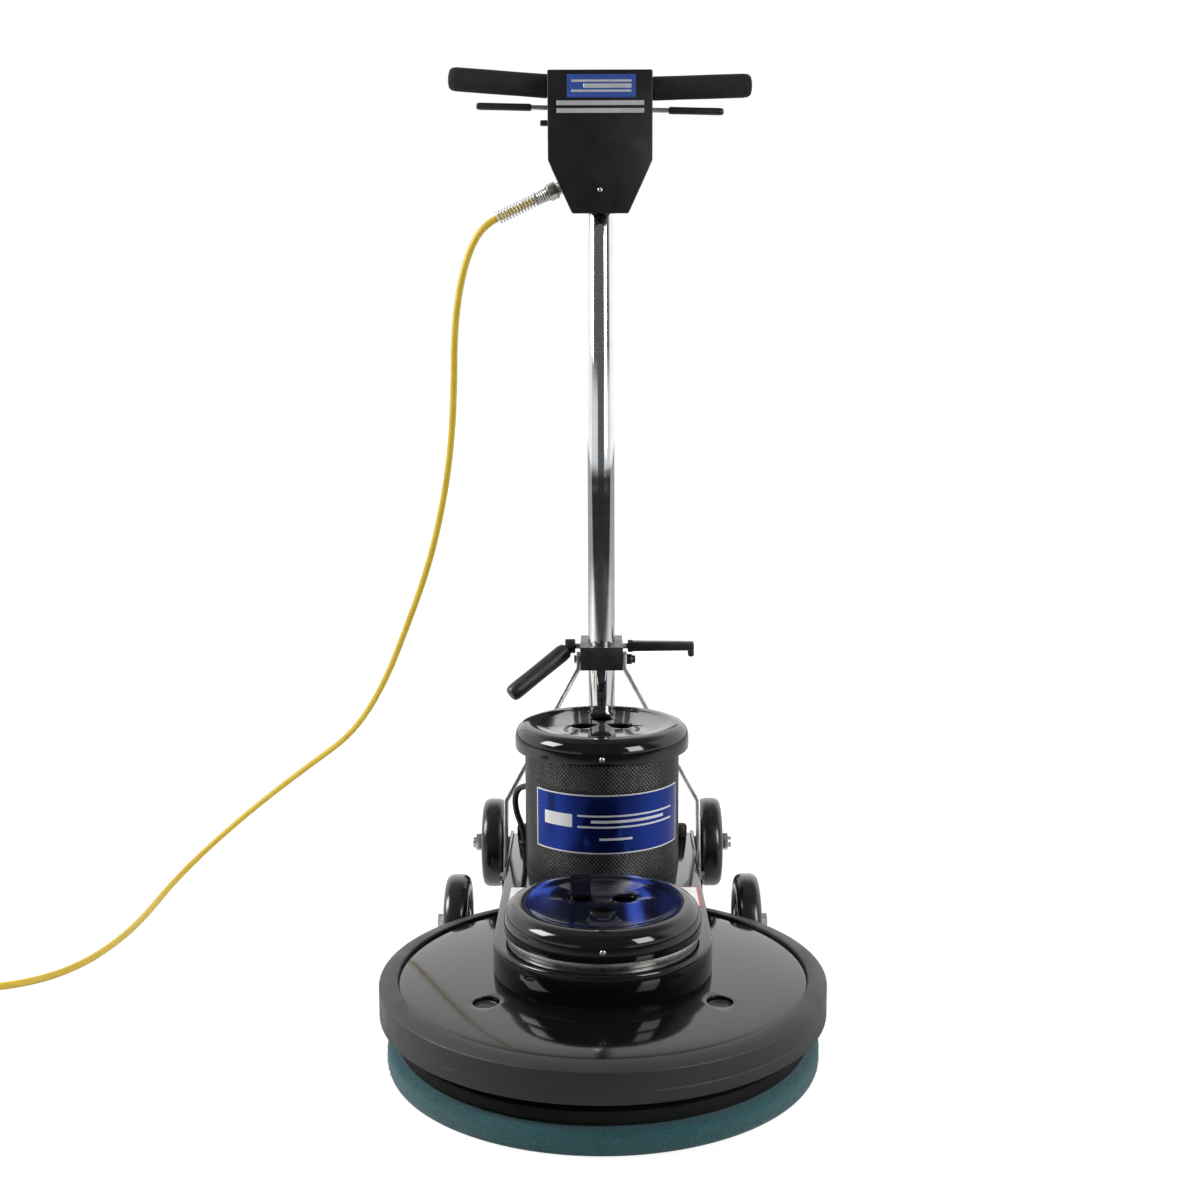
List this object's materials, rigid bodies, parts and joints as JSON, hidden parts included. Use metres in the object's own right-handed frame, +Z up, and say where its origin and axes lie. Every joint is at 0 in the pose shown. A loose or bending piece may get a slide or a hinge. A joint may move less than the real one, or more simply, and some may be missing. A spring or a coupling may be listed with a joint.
{
  "type": "rotary floor machine",
  "caption": "Walk-behind floor burnisher: round deck with rubber bumper and pad, upright motor behind, chrome tilting handle with trigger bar, transport wheels and yellow cord.",
  "frame": {"origin": "centre of the pad's working face, on the floor", "axes": "+Z up, +Y to the rear where the operator stands, +X to the right seen from the front"},
  "size_m": [1.3042, 0.9296, 1.2118],
  "materials": {
    "fibre_pad": "open non-woven fibre",
    "pad_driver_plastic": "moulded, satin",
    "gloss_black_enamel": "high gloss stove enamel",
    "bumper_rubber": "moulded, matte",
    "wheel_rubber": "hard moulded rubber, semi gloss",
    "chrome_tube": "polished plate",
    "zinc_plate": "bright zinc",
    "bright_steel": "bright plated flat bar",
    "textured_black": "wrinkle powder coat",
    "grip_foam": "closed cell foam, matte",
    "black_plastic": "moulded, satin",
    "shroud_paint": "perforated sheet, satin enamel",
    "cast_aluminium": "sand cast, machined faces",
    "electrical_steel": "varnished laminations",
    "copper_winding": "enamelled copper",
    "belt_rubber": "ribbed, matte",
    "clamp_casting": "grey enamel",
    "cord_jacket": "smooth extruded jacket"
  },
  "bodies": {
    "root": {"deck": "gloss_black_enamel", "deck_plugs": "black_plastic", "bumper": "bumper_rubber", "belt_housing": "gloss_black_enamel", "cover_ring": "gloss_black_enamel", "spindle_cover": "gloss_black_enamel", "motor_cap": "gloss_black_enamel", "cover_screws": "zinc_plate", "motor_case": "bright_steel", "motor_shroud": "shroud_paint", "motor_stator": "electrical_steel", "motor_windings": "copper_winding", "motor_end_plates": "cast_aluminium", "ball_bearings": "bright_steel", "bearing_housings": "cast_aluminium", "drive_belt": "belt_rubber", "left_side_plate": "gloss_black_enamel", "right_side_plate": "gloss_black_enamel", "rear_axle": "zinc_plate", "frame_fasteners": "zinc_plate", "stop_posts": "black_plastic", "motor_lead": "black_plastic", "power_cord": "cord_jacket", "cord_coil": "cord_jacket", "power_plug": "black_plastic"},
    "pad_drive": {"floor_pad": "fibre_pad", "pad_gripper": "pad_driver_plastic", "pad_driver": "pad_driver_plastic", "spindle_shaft": "bright_steel", "spindle_pulley": "cast_aluminium"},
    "motor_drive": {"motor_shaft": "bright_steel", "motor_rotor": "electrical_steel", "motor_fan": "black_plastic", "motor_pulley": "cast_aluminium"},
    "upper_left_roller": {"upper_left_wheel": "wheel_rubber"},
    "upper_right_roller": {"upper_right_wheel": "wheel_rubber"},
    "lower_left_roller": {"lower_left_wheel": "wheel_rubber"},
    "lower_right_roller": {"lower_right_wheel": "wheel_rubber"},
    "handle": {"handle_yoke": "gloss_black_enamel", "handle_tube": "chrome_tube", "head_plate": "textured_black", "switch_box": "textured_black", "back_cover": "textured_black", "head_screws": "zinc_plate", "handlebar": "bright_steel", "left_grip": "grip_foam", "right_grip": "grip_foam", "trigger_pin": "zinc_plate", "power_switch": "black_plastic", "cord_gland": "zinc_plate", "cord_relief": "zinc_plate"},
    "clamp": {"clamp_block": "clamp_casting", "clamp_bolts": "zinc_plate"},
    "struts": {"left_strut": "bright_steel", "right_strut": "bright_steel"},
    "lever": {"lock_lever": "black_plastic"},
    "hook": {"cord_hook": "black_plastic"},
    "trigger": {"trigger_bar": "bright_steel", "trigger_sleeves": "black_plastic"},
    "button": {"safety_button": "black_plastic"}
  },
  "joints": [
    {"name": "pad_spin", "type": "hinge", "parent": "root", "child": "pad_drive", "pos_m": [0, 0, 0], "axis": [0, 0, 1], "continuous": true},
    {"name": "motor_spin", "type": "hinge", "parent": "root", "child": "motor_drive", "pos_m": [0, 0.268, 0], "axis": [0, 0, 1], "continuous": true},
    {"name": "upper_left_wheel_spin", "type": "hinge", "parent": "root", "child": "upper_left_roller", "pos_m": [-0.1563, 0.435, 0.1213], "axis": [1, 0, 0], "continuous": true},
    {"name": "upper_right_wheel_spin", "type": "hinge", "parent": "root", "child": "upper_right_roller", "pos_m": [0.1563, 0.435, 0.1213], "axis": [1, 0, 0], "continuous": true},
    {"name": "lower_left_wheel_spin", "type": "hinge", "parent": "root", "child": "lower_left_roller", "pos_m": [-0.1945, 0.262, 0.0635], "axis": [1, 0, 0], "continuous": true},
    {"name": "lower_right_wheel_spin", "type": "hinge", "parent": "root", "child": "lower_right_roller", "pos_m": [0.1945, 0.262, 0.0635], "axis": [1, 0, 0], "continuous": true},
    {"name": "handle_tilt", "type": "hinge", "parent": "root", "child": "handle", "pos_m": [0, 0.435, 0.1213], "axis": [-1, 0, 0], "range_deg": [0, 40]},
    {"name": "clamp_slide", "type": "slide", "parent": "handle", "child": "clamp", "axis": [0, 0, 1], "range_m": [-0.036, 0]},
    {"name": "strut_tilt", "type": "hinge", "parent": "root", "child": "struts", "pos_m": [0, 0.362, 0.0924], "axis": [-1, 0, 0], "range_deg": [0, 34]},
    {"name": "lever_turn", "type": "hinge", "parent": "clamp", "child": "lever", "pos_m": [-0.04, 0.46, 0.4075], "axis": [1, 0, 0], "range_deg": [-50, 60]},
    {"name": "hook_swivel", "type": "hinge", "parent": "clamp", "child": "hook", "pos_m": [0.04, 0.46, 0.4075], "axis": [1, 0, 0], "range_deg": [0, 180]},
    {"name": "trigger_pull", "type": "hinge", "parent": "handle", "child": "trigger", "pos_m": [0, 0.458, 1.15], "axis": [-1, 0, 0], "range_deg": [0, 16], "stiffness_Nm_per_rad": 1, "springref_deg": -14.32},
    {"name": "button_press", "type": "slide", "parent": "handle", "child": "button", "axis": [1, 0, 0], "range_m": [0, 0.004], "stiffness_N_per_m": 300, "springref_m": -0.002}
  ],
  "couplings": [
    {"joint": "motor_spin", "follows": "pad_spin", "ratio": 1.15},
    {"joint": "clamp_slide", "follows": "handle_tilt", "m_per_rad": -0.047},
    {"joint": "strut_tilt", "follows": "handle_tilt", "ratio": 0.835}
  ]
}
